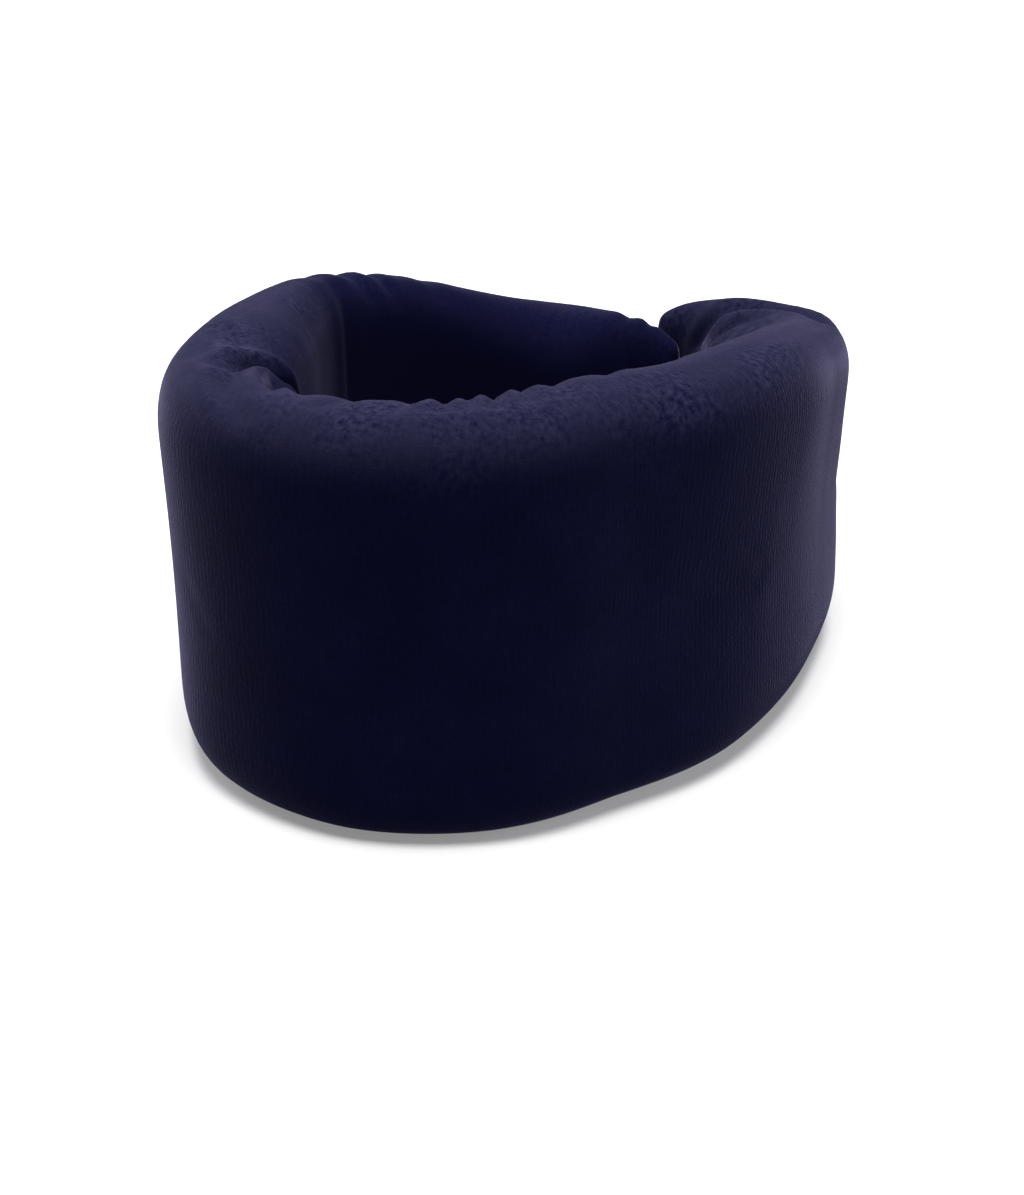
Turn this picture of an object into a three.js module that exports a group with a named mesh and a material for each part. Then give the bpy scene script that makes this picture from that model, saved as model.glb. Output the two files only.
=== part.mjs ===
// Soft cervical collar, closed. Millimetres, +Z up, front of the neck towards -Y, closure at +Y.
// The band is a foam slab in a knit tube. Both ends taper and overlap at the back, the left end inside.
// A hook strap sewn to the right end wraps the outside of the left end and sticks to a loop pad.
import * as THREE from 'three';

// Band section
const WALL_HALF = 15;          // half of the padded wall's thickness
const CAP_RISE = 17;           // height of the rounded top and bottom edges
const CAP_POWER = 2.3;         // roundness of those edges: 2 is an ellipse
const REST_HALF = 4.5;         // half width of the flat strip the band stands on
const LEAN = 1.6;              // the wall leans out by this at its top and in at its foot
const KNIT = 1.4;              // thickness of the knit cover
const GAP = 0.3;               // air between neighbouring pieces

// Ends of the band
const TAPER_RUN = 34;          // length over which an end thins out
const TIP_HALF = 3.6;          // half thickness at the very end
const TIP_DROP = 7;            // the top edge comes down and the bottom edge comes up by this
const DROP_RUN = 20;           // length over which they do
const FOAM_SHORT = 6;          // the foam stops this far before the end of its cover

// Stations of the band's middle line, front to end: x, y and the height of the top edge
const RIGHT_STATIONS = [
  [0, -80, 106],
  [28, -69, 107],
  [46, -46, 107],
  [58, -25, 105],
  [62.5, 0, 102],
  [61.5, 27, 96],
  [55, 56, 87],
  [36, 80, 78],
  [21, 86.5, 74],
  [6, 87, 72],
];
const LEFT_STATIONS = [
  [0, -80, 106],
  [-30, -72, 103],
  [-47.5, -49, 99],
  [-56, -24, 96],
  [-61, 0, 92],
  [-61, 26, 88],
  [-49, 49, 81.5],
  [-27, 66, 73],
  [0, 71, 71.5],
  [19, 68.5, 72],
];

// Closure
const PAD_LOW = 12;            // loop pad, lower and upper edge
const PAD_HIGH = 58;
const PAD_START = 27;          // distance of its near edge from the left tip
const PAD_LENGTH = 78;
const PAD_THICK = 1.4;
const STRAP_LOW = 15;          // strap, lower and upper edge
const STRAP_HIGH = 55;
const STRAP_THICK = 1.4;
const STRAP_ROOT = 23;         // length of the strap that is sewn to the right end
const STRAP_REACH = 64;        // length of the free part
const HOOK_LOW = 18.5;         // hook patch, lower and upper edge
const HOOK_HIGH = 51.5;
const HOOK_THICK = 0.9;
const HOOK_START = 22;         // distance of the hook patch from the strap's bend, and from its free end
const HOOK_SHORT = 8;
const PAD_CORNER = 4;          // corner radii of the pad, the sewn root, the strap's free part and the hooks
const ROOT_CORNER = 0.5;
const STRAP_CORNER = 9;
const HOOK_CORNER = 3;
const STRAP_FRAMES = [19, 13, 7, 2];   // the strap's line follows the right end at these distances from its tip
const STRAP_STEP = 5;          // and then the left end at this step, for this length
const STRAP_FOLLOWS = 80;
const STRAP_LEAN_HEIGHT = 72;  // height over which the strap shares the wall's lean

// End bindings
const BINDING_REACH = 7;       // how far the binding tape folds over an end
const BINDING_THICK = 0.9;
const BINDING_MARGIN = 6;      // it stops this far short of the tip's two edges
const BINDING_NOSE = 0.85;     // half width of its fold, outside and inside, as a share of the tip's
const BINDING_NOSE_IN = 0.8;
const BINDING_ROWS = 7;

// Stitching
const THREAD = 0.6;            // width of a line of stitching
const THREAD_OFF = 0.25;       // it lies this far off the surface it holds
const THREAD_HIGH = 0.5;       // and stands this high
const SEAM_MARGIN = 9;         // an end seam stops this far short of the tip's two edges
const SEAM_PLACE = 0.6;        // and lies at this share of the binding's reach
const PAD_SEAM_IN = 2;         // the pad's seam lies this far in from its ends, and from its long edges
const PAD_SEAM_EDGE = 1.6;
const PAD_THREAD_HIGH = 0.45;
const ROOT_SEAM_IN = 2.5;      // the root's seam: from the sewn end, from the bend, and from the long edges
const ROOT_SEAM_BEND = 3;
const ROOT_SEAM_EDGE = 3;
const HOOK_SEAM_IN = 1.5;

// The origin is under the middle of the closed collar
const CENTRE_X = 0.14;
const CENTRE_Y = -1.79;

// Fineness
const RINGS = 30;
const CAP_STEPS = 5;
const LINE_STEPS = 600;        // samples of each half's middle line
const STRAP_STEPS = 400;       // samples of the strap's line
const TANGENT = 2;             // a direction is taken over this distance on either side
const STRIP_STEP = 6;          // length between two rings of a strip
const CORNER_STOPS = [0, 0.12, 0.32, 0.6, 1];

// How the rounded edges shrink where the wall gets thin
const THIN_RISE = 0.35;        // share of the rise that is left at no thickness
const FLAT_BETWEEN = 4;        // half height of the straight wall that is always left
const THIN_REST = 0.45;        // most of the half width that may be flat at the foot

const MATERIALS = {
  knit: { color: 0x14152e, roughness: 0.95 },
  foam: { color: 0xe9e2cf, roughness: 0.9 },
  tape: { color: 0x101226, roughness: 0.85 },
  loop: { color: 0x16183a, roughness: 1 },
  hook: { color: 0x0d0e1c, roughness: 0.6 },
  thread: { color: 0x1d2047, roughness: 0.7 },
};

function smooth(t) {
  const c = Math.min(1, Math.max(0, t));
  return c * c * (3 - 2 * c);
}

function namedMesh(name, slot, geometry) {
  const look = MATERIALS[slot];
  const material = new THREE.MeshStandardMaterial({
    color: look.color,
    roughness: look.roughness,
    metalness: 0,
  });
  material.name = slot;
  const mesh = new THREE.Mesh(geometry, material);
  mesh.name = name;
  return mesh;
}

// A frame of the band: a point of the middle line, the outward normal, the edges and the half thickness.
// The first frame lies in the plane x = 0 with its normal straight ahead, so both halves meet flat.
function bandFrames(stations, count, side) {
  const points = stations.map(([x, y, top]) => new THREE.Vector3(x, y, top));
  const mirror = new THREE.Vector3(-stations[1][0], stations[1][1], stations[1][2]);
  const curve = new THREE.CatmullRomCurve3([mirror, ...points], false, 'centripetal');
  const samples = [];
  for (let i = 0; i <= LINE_STEPS; i += 1) {
    const first = 1 / points.length;
    samples.push(curve.getPoint(first + (1 - first) * (i / LINE_STEPS)));
  }
  const run = [0];
  for (let i = 1; i <= LINE_STEPS; i += 1) {
    run.push(run[i - 1] + Math.hypot(samples[i].x - samples[i - 1].x, samples[i].y - samples[i - 1].y));
  }
  const total = run[LINE_STEPS];
  const at = (s) => {
    let i = 1;
    while (i < LINE_STEPS && run[i] < s) {
      i += 1;
    }
    const t = (s - run[i - 1]) / (run[i] - run[i - 1]);
    return samples[i - 1].clone().lerp(samples[i], t);
  };
  const frameAt = (s) => {
    const here = at(s);
    const back = at(Math.max(0, s - TANGENT));
    const ahead = at(Math.min(total, s + TANGENT));
    const along = ahead.clone().sub(back);
    along.z = 0;
    along.normalize();
    const normal = new THREE.Vector2(along.y * side, -along.x * side);
    if (s < 0.01) {
      normal.set(0, -1);
    }
    const toTip = total - s;
    const thin = smooth(toTip / TAPER_RUN);
    const drop = TIP_DROP * (1 - Math.sqrt(1 - (1 - Math.min(1, toTip / DROP_RUN)) ** 2));
    return {
      x: s < 0.01 ? side * GAP / 2 : here.x,
      y: here.y,
      nx: normal.x,
      ny: normal.y,
      top: here.z - drop,
      foot: drop,
      full: here.z,
      half: TIP_HALF + (WALL_HALF - TIP_HALF) * thin,
      toTip,
    };
  };
  const frames = [];
  for (let i = 0; i <= count; i += 1) {
    frames.push(frameAt(total * (i / count)));
  }
  return { frames, frameAt, total, side };
}

function placed(frame, offset, z) {
  const lean = LEAN * (2 * z / frame.full - 1);
  return [frame.x + frame.nx * (offset + lean), frame.y + frame.ny * (offset + lean), z];
}

// Outline of the padded wall, once round: outer wall, top edge, inner wall, bottom edge with its flat strip.
function wallOutline(frame, inset) {
  const half = frame.half - inset;
  const top = frame.top - inset;
  const foot = frame.foot + inset;
  const room = (top - foot) / 2 - FLAT_BETWEEN;
  const rise = Math.min(CAP_RISE, room) * Math.min(1, THIN_RISE + frame.half / WALL_HALF) - inset;
  const rest = Math.min(REST_HALF, half * THIN_REST);
  const outline = [];
  const power = 2 / CAP_POWER;
  for (let i = 0; i <= 2 * CAP_STEPS; i += 1) {
    const angle = (Math.PI * i) / (2 * CAP_STEPS);
    const c = Math.cos(angle);
    const across = Math.sign(c) * Math.abs(c) ** power;
    outline.push([half * across, top - rise + rise * Math.sin(angle) ** power]);
  }
  for (let i = 0; i < CAP_STEPS; i += 1) {
    const angle = (Math.PI / 2) * (i / CAP_STEPS);
    const across = Math.cos(angle) ** power;
    outline.push([-(rest + (half - rest) * across), foot + rise - rise * Math.sin(angle) ** power]);
  }
  outline.push([-rest, foot]);
  outline.push([rest, foot]);
  for (let i = CAP_STEPS - 1; i >= 0; i -= 1) {
    const angle = (Math.PI / 2) * (i / CAP_STEPS);
    const across = Math.cos(angle) ** power;
    outline.push([rest + (half - rest) * across, foot + rise - rise * Math.sin(angle) ** power]);
  }
  return outline.map(([offset, z]) => placed(frame, offset, z));
}

// A closed surface through rings of points. Ends are closed with flat fans, or joined ring to ring in a shell.
// A folded section lists one side and then the other side back, and its ends are closed strip by strip.
function skin(outerRings, innerRings, flip, folded) {
  const positions = [];
  const faces = [];
  const add = (rings) => {
    const start = positions.length / 3;
    rings.forEach((ring) => ring.forEach((p) => positions.push(...p)));
    return start;
  };
  const n = outerRings[0].length;
  const walls = (start, count, inward) => {
    for (let i = 0; i < count - 1; i += 1) {
      for (let j = 0; j < n; j += 1) {
        const k = (j + 1) % n;
        const a = start + i * n + j;
        const b = start + i * n + k;
        const c = start + (i + 1) * n + k;
        const d = start + (i + 1) * n + j;
        if (inward) {
          faces.push([a, b, c], [a, c, d]);
        } else {
          faces.push([a, c, b], [a, d, c]);
        }
      }
    }
  };
  const outer = add(outerRings);
  walls(outer, outerRings.length, false);
  if (innerRings) {
    const inner = add(innerRings);
    walls(inner, innerRings.length, true);
    const lastOuter = outer + (outerRings.length - 1) * n;
    const lastInner = inner + (innerRings.length - 1) * n;
    for (let j = 0; j < n; j += 1) {
      const k = (j + 1) % n;
      faces.push([outer + j, outer + k, inner + k], [outer + j, inner + k, inner + j]);
      faces.push([lastOuter + j, lastInner + k, lastOuter + k], [lastOuter + j, lastInner + j, lastInner + k]);
    }
  } else {
    const flatEnd = (first, forward) => {
      if (folded) {
        for (let j = 0; j < n / 2 - 1; j += 1) {
          const a = first + j;
          const b = first + j + 1;
          const c = first + n - 2 - j;
          const d = first + n - 1 - j;
          faces.push(forward ? [a, b, c] : [a, c, b], forward ? [a, c, d] : [a, d, c]);
        }
        return;
      }
      const middle = positions.length / 3;
      const sum = [0, 0, 0];
      for (let j = 0; j < n; j += 1) {
        for (let m = 0; m < 3; m += 1) {
          sum[m] += positions[(first + j) * 3 + m] / n;
        }
      }
      positions.push(...sum);
      for (let j = 0; j < n; j += 1) {
        const k = (j + 1) % n;
        faces.push(forward ? [first + j, first + k, middle] : [first + k, first + j, middle]);
      }
    };
    flatEnd(outer, true);
    flatEnd(outer + (outerRings.length - 1) * n, false);
  }
  const index = [];
  faces.forEach(([a, b, c]) => {
    if (flip) {
      index.push(a, c, b);
    } else {
      index.push(a, b, c);
    }
  });
  const geometry = new THREE.BufferGeometry();
  geometry.setAttribute('position', new THREE.Float32BufferAttribute(positions, 3));
  geometry.setIndex(index);
  geometry.computeVertexNormals();
  return geometry;
}

// The knit tube of one half: open at the front cut and at the tip, where the binding closes it.
function coverHalf(band) {
  const outer = band.frames.map((frame) => wallOutline(frame, 0));
  const inner = band.frames.map((frame) => wallOutline(frame, KNIT));
  return skin(outer, inner, band.side < 0);
}

function foamHalf(band) {
  const frames = band.frames.filter((frame) => frame.toTip > FOAM_SHORT);
  const rings = frames.map((frame) => wallOutline(frame, KNIT + GAP));
  return skin(rings, null, band.side < 0);
}

// A flat strip that follows a row of frames between two offsets and two heights. Its corners are rounded.
function strip(frames, near, far, low, high, corner) {
  const total = frames.length - 1;
  const distances = [0];
  for (let i = 1; i <= total; i += 1) {
    distances.push(distances[i - 1] + Math.hypot(frames[i].x - frames[i - 1].x, frames[i].y - frames[i - 1].y));
  }
  const length = distances[total];
  const rings = frames.map((frame, i) => {
    const edge = Math.min(distances[i], length - distances[i]);
    const cut = edge >= corner ? 0 : corner - Math.sqrt(corner ** 2 - (corner - edge) ** 2);
    const bottom = low + cut;
    const top = high - cut;
    return [
      placed(frame, far, bottom),
      placed(frame, far, top),
      placed(frame, near, top),
      placed(frame, near, bottom),
    ];
  });
  return rings;
}

function spacedFrames(frameAt, from, to, corner) {
  const stops = CORNER_STOPS.map((t) => t * corner);
  const span = to - from;
  const middle = Math.max(2, Math.round((span - 2 * corner) / STRIP_STEP));
  const list = [...stops];
  for (let i = 1; i < middle; i += 1) {
    list.push(corner + (span - 2 * corner) * (i / middle));
  }
  stops.slice().reverse().forEach((t) => list.push(span - t));
  return list.map((t) => frameAt(from + t));
}

function padSheet(frameAt, from, to, near, far, low, high, corner, flip) {
  const frames = spacedFrames(frameAt, from, to, corner);
  return skin(strip(frames, near, far, low, high, corner), null, flip);
}

// A closed line of thread, laid as a rounded rectangle on a surface that follows the frames.
function threadLoop(frameAt, from, to, near, far, low, high, flip) {
  const path = [];
  const alongSteps = Math.max(3, Math.round((to - from) / STRIP_STEP));
  const push = (s, z, outS, outZ) => path.push({ s, z, outS, outZ });
  for (let i = 0; i <= alongSteps; i += 1) {
    const s = from + (to - from) * (i / alongSteps);
    const edge = i === 0 ? -1 : i === alongSteps ? 1 : 0;
    push(s, low, edge, -1);
  }
  for (let i = alongSteps; i >= 0; i -= 1) {
    const s = from + (to - from) * (i / alongSteps);
    const edge = i === 0 ? -1 : i === alongSteps ? 1 : 0;
    push(s, high, edge, 1);
  }
  const outline = (grow, offset) => path.map((p) => {
    const frame = frameAt(p.s + p.outS * grow);
    return placed(frame, offset, p.z + p.outZ * grow);
  });
  const half = THREAD / 2;
  const rings = [outline(half, near), outline(half, far), outline(-half, far), outline(-half, near)];
  const positions = [];
  rings.forEach((ring) => ring.forEach((p) => positions.push(...p)));
  const n = path.length;
  const index = [];
  for (let r = 0; r < 4; r += 1) {
    const next = (r + 1) % 4;
    for (let j = 0; j < n; j += 1) {
      const k = (j + 1) % n;
      const a = r * n + j;
      const b = r * n + k;
      const c = next * n + k;
      const d = next * n + j;
      if (flip) {
        index.push(a, b, c, a, c, d);
      } else {
        index.push(a, c, b, a, d, c);
      }
    }
  }
  const geometry = new THREE.BufferGeometry();
  geometry.setAttribute('position', new THREE.Float32BufferAttribute(positions, 3));
  geometry.setIndex(index);
  geometry.computeVertexNormals();
  return geometry;
}

// A frame a short way before the tip, on the straight run between the last two rings.
function nearTip(band, distance) {
  const count = band.frames.length;
  const last = band.frames[count - 1];
  const before = band.frames[count - 2];
  const t = 1 - distance / before.toTip;
  const mixed = {};
  Object.keys(last).forEach((key) => {
    mixed[key] = before[key] + (last[key] - before[key]) * t;
  });
  return mixed;
}

// The binding: a tape folded round the open end of the tube, hugging its two faces.
function endBinding(band) {
  const tip = band.frames[band.frames.length - 1];
  const frames = [nearTip(band, BINDING_REACH), tip];
  const ahead = { ax: -tip.ny * band.side, ay: tip.nx * band.side };
  const stretched = (extra) => ({ ...tip, x: tip.x + ahead.ax * extra, y: tip.y + ahead.ay * extra });
  const rows = [];
  for (let r = 0; r <= BINDING_ROWS; r += 1) {
    const low = tip.foot + BINDING_MARGIN;
    const high = tip.top - BINDING_MARGIN;
    const z = low + (high - low) * (r / BINDING_ROWS);
    const outside = [];
    const inside = [];
    frames.forEach((frame) => {
      outside.push(placed(frame, frame.half + GAP + BINDING_THICK, z));
      inside.push(placed(frame, frame.half + GAP, z));
    });
    const nose = stretched(GAP + BINDING_THICK);
    const noseIn = stretched(GAP);
    outside.push(placed(nose, tip.half * BINDING_NOSE, z), placed(nose, -tip.half * BINDING_NOSE, z));
    const noseHalf = tip.half * BINDING_NOSE_IN;
    inside.push(placed(noseIn, noseHalf, z), placed(noseIn, -noseHalf, z));
    frames.slice().reverse().forEach((frame) => {
      outside.push(placed(frame, -frame.half - GAP - BINDING_THICK, z));
      inside.push(placed(frame, -frame.half - GAP, z));
    });
    rows.push([...outside, ...inside.reverse()]);
  }
  return skin(rows, null, band.side > 0, true);
}

// One line of thread down the outside of a binding.
function endSeam(band, outward) {
  const middle = BINDING_REACH * SEAM_PLACE;
  const frames = [THREAD / 2, -THREAD / 2].map((d) => nearTip(band, middle + d));
  const tip = band.frameAt(band.total);
  const near = (frame) => outward * (frame.half + GAP + BINDING_THICK + THREAD_OFF);
  const far = (frame) => near(frame) + outward * THREAD_HIGH;
  const rings = frames.map((frame) => {
    const low = tip.foot + SEAM_MARGIN;
    const high = tip.top - SEAM_MARGIN;
    return [
      placed(frame, far(frame), low),
      placed(frame, far(frame), high),
      placed(frame, near(frame), high),
      placed(frame, near(frame), low),
    ];
  });
  return skin(rings, null, band.side * outward < 0);
}

// The strap's own line: over the outside of the right tip, down onto the pad, then along the left end.
function strapLine(left, right) {
  const over = WALL_HALF + 2 * GAP + PAD_THICK + HOOK_THICK + 2 * GAP + STRAP_THICK / 2;
  const points = [];
  STRAP_FRAMES.forEach((d) => {
    const frame = right.frameAt(right.total - d);
    const lift = frame.half + GAP + BINDING_THICK + 2 * GAP + STRAP_THICK / 2;
    points.push(new THREE.Vector2(frame.x + frame.nx * lift, frame.y + frame.ny * lift));
  });
  const onPad = [];
  const start = left.total - PAD_START - 2;
  for (let d = 0; d <= STRAP_FOLLOWS; d += STRAP_STEP) {
    const frame = left.frameAt(start - d);
    onPad.push(new THREE.Vector2(frame.x + frame.nx * over, frame.y + frame.ny * over));
  }
  const curve = new THREE.SplineCurve([...points, ...onPad]);
  const samples = curve.getSpacedPoints(STRAP_STEPS);
  const length = curve.getLength();
  return (s) => {
    const t = Math.min(1, Math.max(0, s / length)) * STRAP_STEPS;
    const i = Math.min(STRAP_STEPS - 1, Math.floor(t));
    const here = samples[i].clone().lerp(samples[i + 1], t - i);
    const back = samples[Math.max(0, i - 2)];
    const ahead = samples[Math.min(STRAP_STEPS, i + 3)];
    const along = ahead.clone().sub(back).normalize();
    return { x: here.x, y: here.y, nx: along.y, ny: -along.x, full: STRAP_LEAN_HEIGHT };
  };
}

// Everything of the closure that hangs on the two ends.
function closure(left, right, put) {
  const padFrom = left.total - PAD_START - PAD_LENGTH;
  const padTo = left.total - PAD_START;
  const padNear = WALL_HALF + GAP;
  const padFar = padNear + PAD_THICK;
  put('loop_pad', 'loop', padSheet(
    left.frameAt, padFrom, padTo, padNear, padFar, PAD_LOW, PAD_HIGH, PAD_CORNER, true,
  ));
  const padThread = padFar + THREAD_OFF;
  put('loop_pad_seam', 'thread', threadLoop(
    left.frameAt, padFrom + PAD_SEAM_IN, padTo - PAD_SEAM_IN, padThread, padThread + PAD_THREAD_HIGH,
    PAD_LOW + PAD_SEAM_EDGE, PAD_HIGH - PAD_SEAM_EDGE, false,
  ));
  const line = strapLine(left, right);
  const half = STRAP_THICK / 2;
  const threadNear = half + THREAD_OFF;
  const threadFar = threadNear + THREAD_HIGH;
  const root = STRAP_ROOT;
  const end = root + GAP + STRAP_REACH;
  put('strap_root', 'tape', padSheet(
    line, 0, root, -half, half, STRAP_LOW, STRAP_HIGH, ROOT_CORNER, false,
  ));
  put('strap_root_seam', 'thread', threadLoop(
    line, ROOT_SEAM_IN, root - ROOT_SEAM_BEND, threadNear, threadFar,
    STRAP_LOW + ROOT_SEAM_EDGE, STRAP_HIGH - ROOT_SEAM_EDGE, true,
  ));
  put('strap_tape', 'tape', padSheet(
    line, root + GAP, end, -half, half, STRAP_LOW, STRAP_HIGH, STRAP_CORNER, false,
  ));
  const hookFar = -half - GAP;
  const hookFrom = root + HOOK_START;
  const hookTo = end - HOOK_SHORT;
  put('hook_patch', 'hook', padSheet(
    line, hookFrom, hookTo, hookFar - HOOK_THICK, hookFar, HOOK_LOW, HOOK_HIGH, HOOK_CORNER, false,
  ));
  put('hook_patch_seam', 'thread', threadLoop(
    line, hookFrom + HOOK_SEAM_IN, hookTo - HOOK_SEAM_IN, threadNear, threadFar,
    HOOK_LOW + HOOK_SEAM_IN, HOOK_HIGH - HOOK_SEAM_IN, true,
  ));
}

const collar = new THREE.Group();
collar.name = 'cervical_collar';
const right = bandFrames(RIGHT_STATIONS, RINGS, 1);
const left = bandFrames(LEFT_STATIONS, RINGS, -1);
const put = (name, slot, geometry) => collar.add(namedMesh(name, slot, geometry));
put('cover_left', 'knit', coverHalf(left));
put('cover_right', 'knit', coverHalf(right));
put('foam_core_left', 'foam', foamHalf(left));
put('foam_core_right', 'foam', foamHalf(right));
put('end_binding_left', 'tape', endBinding(left));
put('end_binding_right', 'tape', endBinding(right));
put('end_seam_left', 'thread', endSeam(left, -1));
put('end_seam_right', 'thread', endSeam(right, -1));
closure(left, right, put);
collar.position.set(CENTRE_X, CENTRE_Y, 0);

export default collar;
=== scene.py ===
import math

import bpy
import numpy as np
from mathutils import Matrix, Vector


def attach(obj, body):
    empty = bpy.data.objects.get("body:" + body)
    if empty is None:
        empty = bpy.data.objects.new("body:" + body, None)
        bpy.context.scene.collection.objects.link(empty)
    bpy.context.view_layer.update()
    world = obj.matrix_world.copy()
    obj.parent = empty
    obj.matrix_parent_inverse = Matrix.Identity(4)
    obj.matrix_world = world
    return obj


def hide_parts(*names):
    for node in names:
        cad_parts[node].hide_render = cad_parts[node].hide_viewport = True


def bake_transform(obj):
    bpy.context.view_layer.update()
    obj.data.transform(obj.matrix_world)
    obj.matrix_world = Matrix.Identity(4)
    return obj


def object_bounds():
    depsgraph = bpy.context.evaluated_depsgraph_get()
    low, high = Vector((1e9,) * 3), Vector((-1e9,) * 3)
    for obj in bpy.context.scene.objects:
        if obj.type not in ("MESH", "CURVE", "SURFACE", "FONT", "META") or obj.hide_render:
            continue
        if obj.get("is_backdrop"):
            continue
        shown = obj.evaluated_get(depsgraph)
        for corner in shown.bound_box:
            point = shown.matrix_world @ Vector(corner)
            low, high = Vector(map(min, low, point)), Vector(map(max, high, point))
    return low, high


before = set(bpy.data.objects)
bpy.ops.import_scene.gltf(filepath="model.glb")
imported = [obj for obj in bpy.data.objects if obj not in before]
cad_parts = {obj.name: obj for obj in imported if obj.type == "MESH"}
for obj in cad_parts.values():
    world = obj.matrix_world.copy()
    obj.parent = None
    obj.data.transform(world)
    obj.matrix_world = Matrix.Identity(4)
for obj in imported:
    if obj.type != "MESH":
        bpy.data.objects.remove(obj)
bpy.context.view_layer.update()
bpy.ops.object.select_all(action="DESELECT")


# ---------------------------------------------------------------------------------------------
# The band's line. The collar is one long foam slab bent into a ring, and every piece on it is
# placed by how far along the band it lies, how far out from its middle and how high.
# ---------------------------------------------------------------------------------------------
MM = 0.001
CENTRE = (0.14, -1.79)           # the middle of the closed outline, in mm
RIGHT_END = [(0, -80, 106), (28, -69, 107), (46, -46, 107), (58, -25, 105), (62.5, 0, 102),
             (61.5, 27, 96), (55, 56, 87), (36, 80, 78), (21, 86.5, 74), (6, 87, 72)]
LEFT_END = [(0, -80, 106), (-30, -72, 103), (-47.5, -49, 99), (-56, -24, 96), (-61, 0, 92),
            (-61, 26, 88), (-49, 49, 81.5), (-27, 66, 73), (0, 71, 71.5), (19, 68.5, 72)]
WALL_HALF = 15.0
TIP_HALF = 3.6                   # half the wall at either tip, reached over the taper run
TAPER_RUN = 34.0
TIP_DROP = 7.0                   # both edges draw in by this much at a tip, over the drop run
DROP_RUN = 20.0
LEAN = 1.6                       # the upper edge leans out by this much, and the lower edge in
TANGENT_REACH = 2.5              # the line's direction is taken over this far to either side


def smooth_path(points, steps=40):
    """A smooth line through the points, sampled closely, with its running length."""
    pts = np.array(points, float)
    pts = np.vstack([2 * pts[0] - pts[1], pts, 2 * pts[-1] - pts[-2]])
    line = []
    for i in range(1, len(pts) - 2):
        a, b, c, d = pts[i - 1:i + 3]
        for k in range(steps):
            t = k / steps
            line.append(0.5 * (2 * b + (c - a) * t + (2 * a - 5 * b + 4 * c - d) * t ** 2
                               + (3 * b - a - 3 * c + d) * t ** 3))
    line.append(pts[-2])
    line = np.array(line)
    gaps = np.hypot(*np.diff(line[:, :2], axis=0).T)
    return line, np.concatenate([[0.0], np.cumsum(gaps)])


BAND, BAND_RUN = smooth_path(RIGHT_END[::-1] + LEFT_END[1:])
BAND_LENGTH = BAND_RUN[-1]


def path_frame(path, run, s):
    """Places and outward normals on a line that runs clockwise, seen from above."""
    s = np.asarray(s, float)
    here = np.stack([np.interp(s, run, path[:, k]) for k in range(path.shape[1])], -1)
    back = np.stack([np.interp(s - TANGENT_REACH, run, path[:, k]) for k in (0, 1)], -1)
    ahead = np.stack([np.interp(s + TANGENT_REACH, run, path[:, k]) for k in (0, 1)], -1)
    along = ahead - back
    along /= np.linalg.norm(along, axis=-1, keepdims=True)
    here[..., :2] += along * (s - np.clip(s, 0, run[-1]))[..., None]
    return here, np.stack([-along[..., 1], along[..., 0]], -1)


def band_profile(s):
    """Half thickness, lower edge and upper edge of the band at a run, thinner and lower at both ends."""
    here, normal = path_frame(BAND, BAND_RUN, s)
    to_tip = np.minimum(s, BAND_LENGTH - s)
    thin = np.clip(to_tip / TAPER_RUN, 0, 1)
    half = TIP_HALF + (WALL_HALF - TIP_HALF) * thin * thin * (3 - 2 * thin)
    drop = TIP_DROP * (1 - np.sqrt(1 - (1 - np.clip(to_tip / DROP_RUN, 0, 1)) ** 2))
    return here, normal, half, drop, here[..., 2] - drop


def on_line(line, s, out, z):
    """A place in metres: s along a line of the collar, out from it towards the outside, z above the table."""
    s, out, z = np.broadcast_arrays(*(np.asarray(value, float) for value in (s, out, z)))
    here, normal = path_frame(*line, s)
    lean = LEAN * (2 * z / here[..., 2] - 1)
    place = here[..., :2] + normal * (out + lean)[..., None] + np.array(CENTRE)
    return np.concatenate([place, z[..., None]], -1) * MM


BAND_LINE = (BAND, BAND_RUN)


# ---------------------------------------------------------------------------------------------
# Knit cover: a tube of navy cotton stockinette, pulled over the foam and sewn shut at both ends.
# A flat grid is rolled round the section and along the band, and simulated as cloth that is a
# little long on the inside of the bend, so that it gathers there. Its deep folds are then pressed.
# ---------------------------------------------------------------------------------------------
COVER_ALONG = 196
COVER_ROUND = 88
CAP_RISE = 17.0                  # how high the rounded edge of the section is
CAP_POWER = 2.3                  # 2 would make it an ellipse, and more makes it squarer
REST_HALF = 4.5                  # half the flat that the band stands on
THINNED = 0.48                   # how much of its inner half the wall loses at the back left corner
LET_OUT = 0.75                   # how much of that it has back at the left end
THINNED_RUN = (318, 368)         # the runs over which it thins
LET_OUT_RUN = (395, 450)
MERGE = 0.05                     # points closer than this are one
NOSE = 2.4                       # each end rounds off to its closing seam over this length
NOSE_STOPS = (0, 0.3, 0.9, 1.6)
GATHER = 0.5                     # how much of the spare length inside the bend the knit keeps
CLOTH_FRAMES = 24
SINK = -1.6                      # the simulated knit may sink and swell by this much
SWELL = 1.1
STILL = (20, 36)                 # it doesn't move at all this near an end, and freely beyond
CUT_Y = 12.0                     # the ring is cut here, on both sides, into a front and two backs


def ramp(values, start, end):
    """0 before start, 1 after end, and a smooth rise between them."""
    t = np.clip((values - start) / (end - start), 0, 1)
    return t * t * (3 - 2 * t)


def slimness(s):
    """The knit pulls the inner side of the wall thin round the back left corner, and lets it out again."""
    return 1 - THINNED * ramp(s, *THINNED_RUN) * (1 - LET_OUT * ramp(s, *LET_OUT_RUN))


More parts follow.
